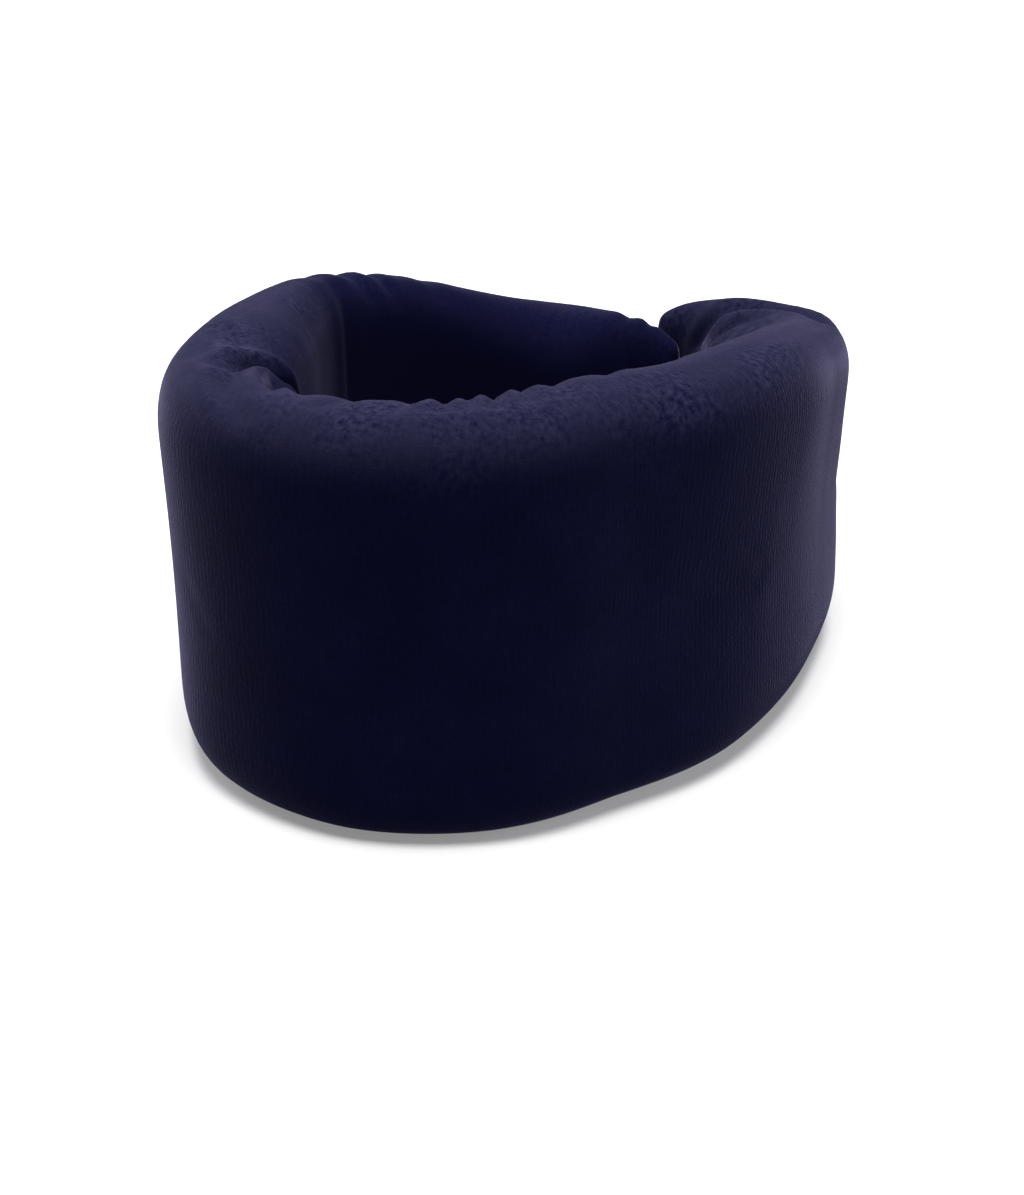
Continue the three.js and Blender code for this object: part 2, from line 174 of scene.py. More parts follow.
def section(half, foot, top, slim, count):
    """The padded wall's outline, evenly spaced, once round from the middle of its lower edge."""
    rise = min(CAP_RISE, (top - foot) / 2 - 4) * min(1, 0.35 + half / WALL_HALF)
    rest = min(REST_HALF, half * 0.45)
    angle = np.linspace(0, math.pi / 2, 14)
    across = np.cos(angle) ** (2 / CAP_POWER)
    up = np.sin(angle) ** (2 / CAP_POWER)
    low = np.stack([rest + (half - rest) * across, foot + rise - rise * up], -1)[::-1]
    high = np.stack([half * across, top - rise + rise * up], -1)
    outer = np.concatenate([low, high])
    inner = outer[::-1] * (-slim, 1)
    outline = np.concatenate([[(0, foot)], outer, inner[1:], [(0, foot)]])
    run = np.concatenate([[0.0], np.cumsum(np.hypot(*np.diff(outline, axis=0).T))])
    even = np.linspace(0, run[-1], count + 1)
    return np.interp(even, run, outline[:, 0]), np.interp(even, run, outline[:, 1]), run[-1]


def grid(name, columns, rows, places, metres):
    """A grid primitive put in place point by point, with its UV map in metres: along, then across."""
    bpy.ops.mesh.primitive_grid_add(x_subdivisions=columns, y_subdivisions=rows, size=1, calc_uvs=True)
    piece = bpy.context.object
    piece.name = name
    mesh = piece.data
    mesh.vertices.foreach_set("co", np.ascontiguousarray(places).reshape(-1))
    uv = mesh.uv_layers[0].data
    flat = np.zeros(len(uv) * 2)
    uv.foreach_get("uv", flat)
    flat = flat.reshape(-1, 2)
    row = np.rint(flat[:, 1] * rows).astype(int)
    column = np.rint(flat[:, 0] * columns).astype(int)
    uv.foreach_set("uv", metres[row, column].reshape(-1))
    return piece


def rolled_tube(name, stops, count, nose, inset=0.0):
    """A grid rolled round the section at each stop, and closed to a line at both ends."""
    along = len(stops) - 1
    half, foot, top = band_profile(stops)[2:]
    to_end = np.minimum(stops - stops[0], stops[-1] - stops)
    inset = np.minimum(inset, half * 0.45)
    slim = slimness(stops)
    half = (half - inset) * np.sqrt(1 - (1 - np.clip(to_end / nose, 0, 1)) ** 2)
    shape = (count + 1, along + 1)
    facts = {word: np.zeros(shape) for word in ("run", "out", "height", "around")}
    for i in range(along + 1):
        out, z, girth = section(half[i], foot[i] + inset[i], top[i] - inset[i], slim[i], count)
        facts["run"][:, i] = stops[i]
        facts["out"][:, i] = out
        facts["height"][:, i] = z
        facts["around"][:, i] = np.linspace(-girth / 2, girth / 2, count + 1)
    places = on_line(BAND_LINE, facts["run"], facts["out"], facts["height"])
    metres = np.stack([facts["run"], facts["around"]], -1) * MM
    tube = grid(name, along, count, places, metres)
    for word, values in facts.items():
        tube.data.attributes.new(word, "FLOAT", "POINT").data.foreach_set("value", values.reshape(-1))
    bpy.ops.object.mode_set(mode="EDIT")
    bpy.ops.mesh.select_all(action="SELECT")
    bpy.ops.mesh.remove_doubles(threshold=MERGE * MM)
    bpy.ops.mesh.normals_make_consistent(inside=False)
    bpy.ops.mesh.select_all(action="DESELECT")
    bpy.ops.object.mode_set(mode="OBJECT")
    bpy.ops.object.shade_smooth()
    return tube


def read(mesh, what):
    """Positions, normals or one named value of every point of a mesh."""
    if what in ("co", "normal"):
        values = np.zeros(len(mesh.vertices) * 3)
        mesh.vertices.foreach_get(what, values)
        return values.reshape(-1, 3)
    values = np.zeros(len(mesh.vertices))
    mesh.attributes[what].data.foreach_get("value", values)
    return values


def subdivide(piece):
    smoother = piece.modifiers.new("finer", "SUBSURF")
    smoother.levels = 1
    smoother.render_levels = 1
    bpy.ops.object.modifier_apply(modifier=smoother.name)


nose_end = BAND_LENGTH - np.array(NOSE_STOPS[::-1])
stops = np.concatenate([NOSE_STOPS, np.linspace(NOSE, BAND_LENGTH - NOSE, COVER_ALONG + 1), nose_end])
cover = rolled_tube("knit_cover_front", stops, COVER_ROUND, NOSE)
flat_shape = read(cover.data, "co")
facing = read(cover.data, "normal")
run, out, height = (read(cover.data, word) for word in ("run", "out", "height"))
to_end = np.minimum(run, BAND_LENGTH - run)

heading = np.unwrap(np.arctan2(*path_frame(*BAND_LINE, BAND_RUN)[1].T))
bend = np.abs(np.interp(run, BAND_RUN, np.gradient(heading, BAND_RUN)))
inside = np.clip(-out / WALL_HALF, 0, 1) * ramp(to_end, 10, 35)
slack = GATHER * bend * WALL_HALF * inside
pitch = BAND_LENGTH / COVER_ALONG
every_other = (-1.0) ** np.searchsorted(stops, run - 0.01)
zigzag = 0.5 * pitch * np.sqrt((1 + slack) ** 2 - 1) * every_other * MM
ripple = 0.25 * np.sin(run * 0.61 + 1.3 * np.sin(run * 0.13)) * inside * MM
bpy.ops.object.shape_key_add(from_mix=False)
bpy.ops.object.shape_key_add(from_mix=False)
as_placed, as_cut = cover.data.shape_keys.key_blocks
as_cut.data.foreach_set("co", (flat_shape + facing * zigzag[:, None]).reshape(-1))
as_placed.data.foreach_set("co", (flat_shape + facing * ripple[:, None]).reshape(-1))
cloth = cover.modifiers.new("stockinette", "CLOTH")
cloth.settings.rest_shape_key = as_cut
cloth.settings.quality = 6
cloth.settings.mass = 0.3
cloth.settings.tension_stiffness = 15
cloth.settings.compression_stiffness = 15
cloth.settings.shear_stiffness = 5
cloth.settings.bending_stiffness = 0.4
cloth.settings.use_pressure = True
cloth.settings.uniform_pressure_force = 4
cloth.settings.effector_weights.gravity = 0
cloth.point_cache.frame_start = 1
cloth.point_cache.frame_end = CLOTH_FRAMES
for step in range(1, CLOTH_FRAMES + 1):
    bpy.context.scene.frame_set(step)
draped = read(cover.evaluated_get(bpy.context.evaluated_depsgraph_get()).data, "co")
cover.modifiers.remove(cloth)
bpy.ops.object.shape_key_remove(all=True)
bpy.context.scene.frame_set(1)
moved = np.clip(((draped - flat_shape) * facing).sum(-1) / MM, SINK, SWELL)
under_pad = ramp(run, BAND_LENGTH - 112, BAND_LENGTH - 106) * (out > 0)
moved = np.minimum(moved, SWELL - (SWELL - 0.1) * under_pad) * ramp(to_end, *STILL)
moved *= 1 - 0.7 * ramp(run, 300, 325) * (1 - ramp(run, 425, 450))
cover.data.vertices.foreach_set("co", (flat_shape + facing * moved[:, None] * MM).reshape(-1))
cover.data.update()

subdivide(cover)
shape = read(cover.data, "co")
facing = read(cover.data, "normal")
run, out, height, around = (read(cover.data, word) for word in ("run", "out", "height", "around"))
to_end = np.minimum(run, BAND_LENGTH - run)
full = np.interp(run, BAND_RUN, BAND[:, 2])
near_rim = ramp(height, 10, 25)
press = np.zeros(len(run))


def fold(path, depth, width):
    """Presses a crease along (run, around) points, around being from the rim's crown towards the inside."""
    path = np.array(path, float)
    nearest = np.full(len(run), 1e6)
    along = np.zeros(len(run))
    lengths = np.hypot(*np.diff(path, axis=0).T)
    travelled = 0.0
    for a, b, length in zip(path[:-1], path[1:], lengths):
        t = np.clip(((run - a[0]) * (b[0] - a[0]) + (around - a[1]) * (b[1] - a[1])) / length ** 2, 0, 1)
        gap = np.hypot(run - a[0] - t * (b[0] - a[0]), around - a[1] - t * (b[1] - a[1]))
        closer = gap < nearest
        nearest = np.where(closer, gap, nearest)
        along = np.where(closer, travelled + t * length, along)
        travelled += length
    fade = np.sin(np.pi * (0.08 + 0.84 * along / travelled)) ** 0.7
    valley = np.exp(-(nearest / width) ** 2)
    lip = 0.35 * np.exp(-((nearest - 2.1 * width) / (1.1 * width)) ** 2)
    press[:] -= depth * fade * (valley - lip) * near_rim


FRONT_GATHERS = [(229, 0.8, 2.6), (214, 0.7, 2.2), (206, 1.2, 1.8), (200.5, 0.8, 1.5), (193, 1.7, 2.1),
                 (186, 1.3, 1.8), (178, 0.7, 2.4), (164, 0.6, 2.4)]
for place, depth, width in FRONT_GATHERS:
    fold([(place + 2.5, -2), (place, 6), (place - 1.2, 14), (place + 1.4, 30)], depth, width)
fold([(277, 1), (284, 8), (290, 17), (293, 29), (292, 40)], 4.2, 3.2)
fold([(283, 8), (273, 4), (261, -3), (247, -11)], 1.7, 2.6)
fold([(287, 17), (276, 16), (262, 12), (248, 3)], 1.9, 2.5)
fold([(290, 27), (280, 26), (266, 22), (250, 13), (240, 3)], 1.3, 2.4)
fold([(289, 9), (298, 3), (309, -4)], 0.8, 2.8)
fold([(366, -8), (367, 4), (366, 20), (365, 44), (366, 66)], 0.5, 2.2)
for place, depth, width in ((376, 0.7, 2.2), (384, 0.9, 1.8), (399, 0.4, 2.4), (452, 0.9, 1.8), (458, 0.7, 1.5)):
    fold([(place - 1, -5), (place, 4), (place + 2, 14)], depth, width)
fold([(17, 14), (23, 5), (33, 0), (46, -4), (60, -9)], 2.3, 2.3)
fold([(30, 18), (36, 10), (46, 6)], 1.0, 2.0)
fold([(58, 8), (57, 18), (58, 32)], 0.8, 2.4)

belly = np.sin(np.pi * np.clip(height / full, 0, 1)) ** 2
off_the_pad = ramp(BAND_LENGTH - run, 108, 128) * ramp(run, 40, 64)
right_side = ramp(run, 50, 80) * (1 - ramp(run, 150, 190))
back_right = ramp(run, 40, 60) * (1 - ramp(run, 85, 115)) * ramp(height, 20, 95)
press -= np.clip(out / 12, 0, 1) * off_the_pad * (0.8 * belly + right_side * (1.0 + 1.5 * belly) + 1.6 * back_right)
cover.data.vertices.foreach_set("co", (shape + facing * press[:, None] * MM).reshape(-1))
cover.data.update()
# Partly wear, partly painted top light: faces turned up on the upper part of the band are marked to be lightened as
# if lit from above, much less on the inner side at the back left corner.
rubbed_and_top_lit = ramp(read(cover.data, "normal")[:, 2], -0.1, 0.9) * ramp(height / full, 0.45, 0.75)
rubbed_and_top_lit *= 1 - 0.85 * ramp(run, 350, 368) * ramp(around, -9, -1)
cover.data.attributes.new("rubbed_and_top_lit", "FLOAT", "POINT").data.foreach_set("value", rubbed_and_top_lit)
INNER_SHADE_AROUND = (6, 22)          # the inner wall is painted flat shade from here inwards, and from the front to the left end
INNER_SHADE_RUN = (170, 270)
# Painted shade on the inner wall inside the ring: this mask swaps the knit for one flat colour.
inside = ramp(around, *INNER_SHADE_AROUND) * ramp(run, *INNER_SHADE_RUN)
cover.data.attributes.new("inside", "FLOAT", "POINT").data.foreach_set("value", inside)


def cut_in_three(front, back_right_name, back_left_name):
    """Cuts a ring piece at both sides. Each length keeps its shading at the cut, and is closed there."""
    level = np.abs(BAND[:, 1] - CUT_Y)
    right_cut = BAND_RUN[np.argmin(np.where(BAND[:, 0] > 50, level, 1e6))]
    left_cut = BAND_RUN[np.argmin(np.where(BAND[:, 0] < -50, level, 1e6))]
    backs = []
    for name, chosen in ((back_right_name, lambda s: s < right_cut), (back_left_name, lambda s: s > left_cut)):
        bpy.ops.object.select_all(action="DESELECT")
        bpy.context.view_layer.objects.active = front
        front.select_set(True)
        bpy.ops.object.mode_set(mode="EDIT")
        bpy.ops.mesh.select_mode(type="FACE")
        bpy.ops.mesh.select_all(action="DESELECT")
        bpy.ops.object.mode_set(mode="OBJECT")
        mesh = front.data
        runs = read(mesh, "run")
        flags = [chosen(sum(runs[v] for v in face.vertices) / len(face.vertices)) for face in mesh.polygons]
        mesh.polygons.foreach_set("select", flags)
        bpy.ops.object.mode_set(mode="EDIT")
        bpy.ops.mesh.separate(type="SELECTED")
        bpy.ops.object.mode_set(mode="OBJECT")
        back = [piece for piece in bpy.context.selected_objects if piece != front][0]
        back.name = name
        backs.append(back)
    for piece in (front, *backs):
        bpy.ops.object.select_all(action="DESELECT")
        bpy.context.view_layer.objects.active = piece
        piece.select_set(True)
        bpy.ops.object.mode_set(mode="EDIT")
        bpy.ops.mesh.select_mode(type="EDGE")
        bpy.ops.mesh.select_all(action="DESELECT")
        bpy.ops.mesh.select_non_manifold(extend=False)
        bpy.ops.mesh.mark_sharp()
        bpy.ops.mesh.fill_holes(sides=0)
        bpy.ops.mesh.select_all(action="DESELECT")
        bpy.ops.mesh.select_mode(type="VERT")
        bpy.ops.object.mode_set(mode="OBJECT")
    return backs


def ride_the_ring(front, back_right, back_left, finish, node_stem):
    """The three lengths of a ring piece take the finish in place of the CAD parts; the front is baked in place, and
    each back length rides its own half.
    """
    for piece in (front, back_right, back_left):
        piece.data.materials.clear()
        piece.data.materials.append(finish.material)
    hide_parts(node_stem + "_right", node_stem + "_left")
    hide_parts(node_stem + "_right")
    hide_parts(node_stem + "_left")
    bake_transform(front)
    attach(back_right, "right_half")
    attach(back_left, "left_half")


class Wire:
    """A shader socket in Python arithmetic: each operator adds the Math node that it stands for."""

    def __init__(self, finish, socket):
        self.finish = finish
        self.socket = socket

    def maths(self, operation, first, second=0.0):
        return self.finish.node("ShaderNodeMath", {"operation": operation}, {0: first, 1: second})

    def __add__(self, other):
        return self.maths("ADD", self, other)

    def __radd__(self, other):
        return self.maths("ADD", other, self)

    def __sub__(self, other):
        return self.maths("SUBTRACT", self, other)

    def __rsub__(self, other):
        return self.maths("SUBTRACT", other, self)

    def __mul__(self, other):
        return self.maths("MULTIPLY", self, other)

    def __rmul__(self, other):
        return self.maths("MULTIPLY", other, self)

    def __truediv__(self, other):
        return self.maths("DIVIDE", self, other)

    def wave(self):
        """From 0 to 1 and back, once for each whole step of the value."""
        return 0.5 - 0.5 * self.maths("COSINE", self * math.tau)


class Finish:
    """A procedural material, with the one method that adds its nodes."""

    def __init__(self, name, constants):
        self.material = bpy.data.materials.new(name)
        self.material.use_nodes = True
        self.tree = self.material.node_tree
        self.shader = self.tree.nodes["Principled BSDF"]
        for socket, value in constants.items():
            self.shader.inputs[socket].default_value = value

    def node(self, kind, settings, inputs, output=0):
        """Adds a node: its settings first, then a value or a link for each input. Gives one output."""
        node = self.tree.nodes.new(kind)
        for word, value in settings.items():
            setattr(node, word, value)
        for socket, value in inputs.items():
            if isinstance(value, Wire):
                self.tree.links.new(value.socket, node.inputs[socket])
            else:
                node.inputs[socket].default_value = value
        return Wire(self, node.outputs[output])

    def speckle(self, size, detail=2.0):
        """Soft noise from 0 to 1 on the piece's own place, with lumps of a size in millimetres."""
        place = self.node("ShaderNodeTexCoord", {}, {}, "Object")
        return self.node("ShaderNodeTexNoise", {}, {"Vector": place, "Scale": 1 / (size * MM), "Detail": detail})

    def cloth_places(self):
        """Millimetres along and across the fabric, from its UV map."""
        uv = self.node("ShaderNodeUVMap", {}, {})
        split = self.node("ShaderNodeSeparateXYZ", {}, {"Vector": uv})
        across = Wire(self, split.socket.node.outputs["Y"])
        return split / MM, across / MM

    def blend(self, share, first, second):
        """A colour from first at 0 to second at 1."""
        settings = {"data_type": "RGBA", "clamp_factor": True}
        return self.node("ShaderNodeMix", settings, {"Factor": share, 6: first, 7: second}, 2)

    def relief(self, height, depth, strength=1.0):
        """Feeds a height from 0 to 1 to the shader as a bump, its depth in millimetres."""
        bump = self.node("ShaderNodeBump", {}, {"Height": height, "Distance": depth * MM, "Strength": strength})
        self.feed("Normal", bump)

    def feed(self, socket, value):
        self.tree.links.new(value.socket, self.shader.inputs[socket])

    def paint_flat_shade(self, share, colour):
        """Where the share is 1 the knit is painted flat shade: the same cloth in one colour, without sheen."""
        flat = self.node("ShaderNodeBsdfPrincipled", {}, {"Base Color": colour, "Roughness": 1.0,
                                                          "Specular IOR Level": 0.02})
        both = self.node("ShaderNodeMixShader", {}, {0: share, 1: Wire(self, self.shader.outputs[0]), 2: flat})
        self.tree.links.new(both.socket, self.tree.nodes["Material Output"].inputs["Surface"])


WALE = 1.25                      # width of one column of knit stitches
COURSE = 0.95                    # height of one stitch
NAVY_DARK_AND_SHADED = (0.0003, 0.0005, 0.0065, 1)
NAVY_LIT = (0.0020, 0.0025, 0.0180, 1)
NAVY_LINT_AND_HIGHLIGHT = (0.0250, 0.0235, 0.0480, 1)
NAVY_INNER_SHADE = (0.0016, 0.0017, 0.0105, 1)
INNER_SHADE_SHARE = 0.8                  # how much of the inner wall is painted flat shade

knit = Finish("navy_stockinette", {"Sheen Weight": 0.125, "Sheen Roughness": 0.30,
                                   "Sheen Tint": (0.60, 0.56, 1.0, 1), "Specular IOR Level": 0.03})
along, across = knit.cloth_places()
sway = knit.speckle(9, 2.0) * 1.3
wale = (along / WALE + sway).wave()
loops = (across / COURSE + wale * 0.45).wave()
stitches = wale * 0.62 + wale * loops * 0.38
nap = knit.node("ShaderNodeCombineXYZ", {}, {"X": along * 1.7, "Y": across * 0.30})
nap = knit.node("ShaderNodeTexNoise", {}, {"Vector": nap, "Scale": 1.0, "Detail": 3.0})
fuzz = knit.speckle(0.6, 3.0)
worn = knit.speckle(17, 2.0)
clear = (worn - 0.35) * 2.2
knit.relief(stitches * 0.2 + nap * 0.6 + fuzz * 1.1, 0.20, 0.8)
# Partly painted shade: the knit is darker where its stitches, nap and fuzz lie low in the bump and lighter on their
# ridges; the worn noise adds random tone.
shade = knit.blend(stitches * 0.12 + nap * 0.5 + fuzz * 0.35 + (worn - 0.5) * 0.6, NAVY_DARK_AND_SHADED, NAVY_LIT)
lint = (knit.speckle(1.5, 5.0) - 0.50) * 4.0
rubbed_and_top_lit = knit.node("ShaderNodeAttribute", {"attribute_name": "rubbed_and_top_lit"}, {}, "Fac")
# Random lint specks everywhere, plus a painted highlight: much more of the pale lint colour on the rim's upward
# faces, where light from above falls.
lint_and_top_light = rubbed_and_top_lit * (0.04 + nap * 0.22 + fuzz * 0.22) + lint * clear * (0.06 + rubbed_and_top_lit * 0.50)
knit.feed("Base Color", knit.blend(lint_and_top_light, shade, NAVY_LINT_AND_HIGHLIGHT))
knit.feed("Roughness", 0.88 + fuzz * 0.12)
# Painted shade: the inner wall is mostly one flat colour without sheen, so it stays dark under the lamps.
knit.paint_flat_shade(INNER_SHADE_SHARE * knit.node("ShaderNodeAttribute", {"attribute_name": "inside"}, {}, "Fac"), NAVY_INNER_SHADE)

cover_back_right, cover_back_left = cut_in_three(cover, "knit_cover_back_right", "knit_cover_back_left")
ride_the_ring(cover, cover_back_right, cover_back_left, knit, "cover")


# ---------------------------------------------------------------------------------------------
# Foam core: one slab of soft open-cell foam that fills the cover and gives the collar its wall.
# It stops a little before both ends, is cut square there, and is cut into a front and two backs like the knit.
# ---------------------------------------------------------------------------------------------
FOAM_SHORT = 6.0
FOAM_INSET = 5.2                 # it lies this deep, clear of the pressed folds, and less where the wall is thin
FOAM_ALONG = 150
FOAM_ROUND = 56
FOAM_EDGE = 1.0
FOAM_PALE = (0.62, 0.58, 0.47, 1)
FOAM_PORE_SHADE = (0.30, 0.27, 0.20, 1)

bpy.ops.object.select_all(action="DESELECT")
foam_nose = FOAM_SHORT + np.array((0, 0.2, 0.55))
foam_middle = np.linspace(FOAM_SHORT + FOAM_EDGE, BAND_LENGTH - FOAM_SHORT - FOAM_EDGE, FOAM_ALONG + 1)
foam_stops = np.concatenate([foam_nose, foam_middle, (BAND_LENGTH - foam_nose)[::-1]])
foam = rolled_tube("foam_core_front", foam_stops, FOAM_ROUND, FOAM_EDGE, FOAM_INSET)

cell = Finish("cream_open_cell_foam", {"Roughness": 0.95, "Specular IOR Level": 0.15})
place = cell.node("ShaderNodeTexCoord", {}, {}, "Object")
pores = cell.node("ShaderNodeTexVoronoi", {"feature": "F1"}, {"Vector": place, "Scale": 1 / (0.9 * MM)}, "Distance")
cell.relief(pores + cell.speckle(0.35) * 0.3, 0.35)
# Partly painted shade: the foam is darker in its pores, where the bump is low; the large noise adds random tone.
cell.feed("Base Color", cell.blend(pores * 1.3 + (cell.speckle(12) - 0.5) * 0.4, FOAM_PORE_SHADE, FOAM_PALE))
foam_back_right, foam_back_left = cut_in_three(foam, "foam_core_back_right", "foam_core_back_left")
ride_the_ring(foam, foam_back_right, foam_back_left, cell, "foam_core")


# ---------------------------------------------------------------------------------------------
# End bindings: a navy woven tape folded round each closed end of the tube, over the closing seam.
# A grid follows the folded section from one face round the end to the other, and is thickened.
# ---------------------------------------------------------------------------------------------
GAP = 0.3
BINDING_REACH = 7.0
BINDING_THICK = 0.9
BINDING_MARGIN = 6.0             # the binding stops this far short of the band's two edges
BINDING_ROWS = 32
WEAVE = 0.8                      # width of one pair of woven yarns
TAPE_DARK_AND_SHADED = (0.0022, 0.0024, 0.0110, 1)
TAPE_LIT = (0.0085, 0.0088, 0.0340, 1)

tape = Finish("navy_woven_tape", {"Sheen Weight": 0.035, "Sheen Roughness": 0.5,
                                   "Sheen Tint": (0.72, 0.70, 1.0, 1), "Specular IOR Level": 0.10})
along, across = tape.cloth_places()
twill = ((along + across) / WEAVE).wave()
ribs = ((along - across * 0.35) / (WEAVE * 0.5)).wave()
yarns = twill * 0.7 + ribs * 0.3
tape.relief(yarns + tape.speckle(0.4, 2.0) * 0.25, 0.16, 0.8)
# Partly painted shade: the tape is darker in the low yarns of its weave and lighter on the raised ones; the noise
# adds random tone.
tape.feed("Base Color", tape.blend(yarns * 0.7 + (tape.speckle(9) - 0.5) * 0.4, TAPE_DARK_AND_SHADED, TAPE_LIT))
tape.feed("Roughness", 0.72 - yarns * 0.14)


def thicken(piece, thick, round_off, outward):
    """Gives a grid its thickness on its outer side, and rounds its edges."""
    normal = read(piece.data, "normal")
    if (normal * outward).sum() < 0:
        bpy.ops.object.mode_set(mode="EDIT")
        bpy.ops.mesh.select_all(action="SELECT")
        bpy.ops.mesh.flip_normals()
        bpy.ops.object.mode_set(mode="OBJECT")
    wall = piece.modifiers.new("thickness", "SOLIDIFY")
    wall.thickness = thick * MM
    wall.offset = 1.0
    bpy.ops.object.modifier_apply(modifier=wall.name)
    edge = piece.modifiers.new("edge", "BEVEL")
    edge.width = round_off * MM
    edge.segments = 2
    edge.limit_method = "ANGLE"
    edge.angle_limit = math.radians(50)
    bpy.ops.object.modifier_apply(modifier=edge.name)
    bpy.ops.object.shade_smooth_by_angle(angle=math.radians(45))


def finish_piece(piece, finish, slot_name, body, *nodes):
    piece.data.materials.clear()
    piece.data.materials.append(finish.material)
    if nodes:
        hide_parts(*nodes)
    if body:
        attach(piece, body)
    return piece


for end, body, side in (("right", "right_half", 0), ("left", "left_half", 1)):
    bpy.ops.object.select_all(action="DESELECT")
    sweep = np.linspace(0, math.pi / 2, 7)
    flank = np.linspace(BINDING_REACH, NOSE, 6)
    depth_in = np.concatenate([flank, NOSE - (NOSE + GAP) * np.sin(sweep[1:]) ** 0.8])
    tip_run = np.clip(depth_in, 0, None)
    face = band_profile(tip_run)[2] + GAP
    share = np.concatenate([np.ones(6), np.cos(sweep[1:]) ** 0.6])
    depth_in = np.concatenate([depth_in, depth_in[-2::-1]])
    lift = np.concatenate([face * share, -(face * share)[-2::-1]])
    s = depth_in if side == 0 else BAND_LENGTH - depth_in
    foot, top = band_profile(np.clip(s, 0, BAND_LENGTH))[3:]
    low, high = foot.max() + BINDING_MARGIN, top.min() - BINDING_MARGIN
    levels = np.linspace(low, high, BINDING_ROWS + 1)
    places = on_line(BAND_LINE, s[None, :], lift[None, :], levels[:, None])
    folded = np.concatenate([[0.0], np.cumsum(np.hypot(np.diff(depth_in), np.diff(lift)))])
    metres = np.stack(np.broadcast_arrays(folded[None, :], levels[:, None]), -1) * MM
    binding = grid("end_binding_tape_" + end, len(s) - 1, BINDING_ROWS, places, metres)
    middle = on_line(BAND_LINE, np.clip(s, NOSE + 1, BAND_LENGTH - NOSE - 1)[None, :], 0, levels[:, None])
    thicken(binding, BINDING_THICK, 0.25, (places - middle).reshape(-1, 3))
    finish_piece(binding, tape, "tape", body, "end_binding_" + end)


# ---------------------------------------------------------------------------------------------
# Loop pad: a brushed nylon loop panel sewn to the outside of the left end, for the strap to grip.
# A thin woven base is laid on the band, and one small loop of yarn is copied all over it.
# ---------------------------------------------------------------------------------------------
PAD_LOW = 12.0
PAD_HIGH = 58.0
PAD_START = 27.0
PAD_LENGTH = 78.0
PAD_THICK = 1.4
PAD_BASE = 0.9
PAD_CORNER = 4.0
LOOP_PITCH = 1.15
LOOP_TALL = 0.75
YARN = 0.10                      # radius of one loop's yarn
STRIP_STEP = 1.2                 # the size of one face of a strip's grid
LOOP_NAVY = (0.0030, 0.0034, 0.0170, 1)
LOOP_SHEEN = (0.0105, 0.0110, 0.0400, 1)


def strip(name, line, start, stop, low, high, out, thick, corner):
    """A flat strip laid along a line, its corners rounded, its thickness on the outer side."""
    bpy.ops.object.select_all(action="DESELECT")
    turn = corner * (1 - np.cos(np.linspace(0, math.pi / 2, 5)))
    middle = np.linspace(start + corner, stop - corner, max(2, int((stop - start - 2 * corner) / STRIP_STEP)))
    s = np.concatenate([start + turn[:-1], middle, (stop - turn[:-1])[::-1]])
    from_end = np.minimum(np.minimum(s - start, stop - s), corner)
    squeeze = corner - np.sqrt(np.clip(corner ** 2 - (corner - from_end) ** 2, 0, None))
    rows = int((high - low) / STRIP_STEP)
    level = np.linspace(0, 1, rows + 1)[:, None]
    z = (low + squeeze)[None, :] + (high - low - 2 * squeeze)[None, :] * level
    places = on_line(line, s[None, :], out, z)
    metres = np.stack(np.broadcast_arrays(s[None, :], z), -1) * MM
    piece = grid(name, len(s) - 1, rows, places, metres)
    thicken(piece, thick, min(0.3, thick * 0.2), (on_line(line, s[None, :], out + 1, z) - places).reshape(-1, 3))
    return piece


def copies(piece, line, s, out, z, turn, lean=0.0, facing_out=1.0):
    """Copies a small finished piece to each place, its own X turned from the line by an angle, and joins them."""
    s, out, z, turn, lean = np.broadcast_arrays(s, out, z, turn, lean)
    small = read(piece.data, "co")
    faces = [tuple(face.vertices) for face in piece.data.polygons]
    spots = on_line(line, s, out, z)
    outward = on_line(line, s, out + 1.0, z) - spots
    outward /= np.linalg.norm(outward, axis=-1, keepdims=True)
    up = np.array((0, 0, 1.0)) - outward * outward[:, 2:3]
    up /= np.linalg.norm(up, axis=-1, keepdims=True)
    forward = np.cross(up, outward)
    x = forward * np.cos(turn)[:, None] + up * np.sin(turn)[:, None]
    x = x + outward * lean[:, None]
    x /= np.linalg.norm(x, axis=-1, keepdims=True)
    outward = (outward - x * (outward * x).sum(-1, keepdims=True)) * facing_out
    outward /= np.linalg.norm(outward, axis=-1, keepdims=True)
    y = np.cross(outward, x)
    placed = (spots[:, None] + small[None, :, 0:1] * x[:, None] + small[None, :, 1:2] * y[:, None]
              + small[None, :, 2:3] * outward[:, None])
    count = len(small)
    many = bpy.data.meshes.new(piece.name)
    many.from_pydata(placed.reshape(-1, 3).tolist(), [],
                     [tuple(v + k * count for v in face) for k in range(len(spots)) for face in faces])
    uv_in = piece.data.uv_layers[0].data
    flat = np.zeros(len(uv_in) * 2)
    uv_in.foreach_get("uv", flat)
    many.uv_layers.new(name="UVMap").data.foreach_set("uv", np.tile(flat, len(spots)))
    many.polygons.foreach_set("use_smooth", [True] * len(many.polygons))
    piece.data = many
    return piece


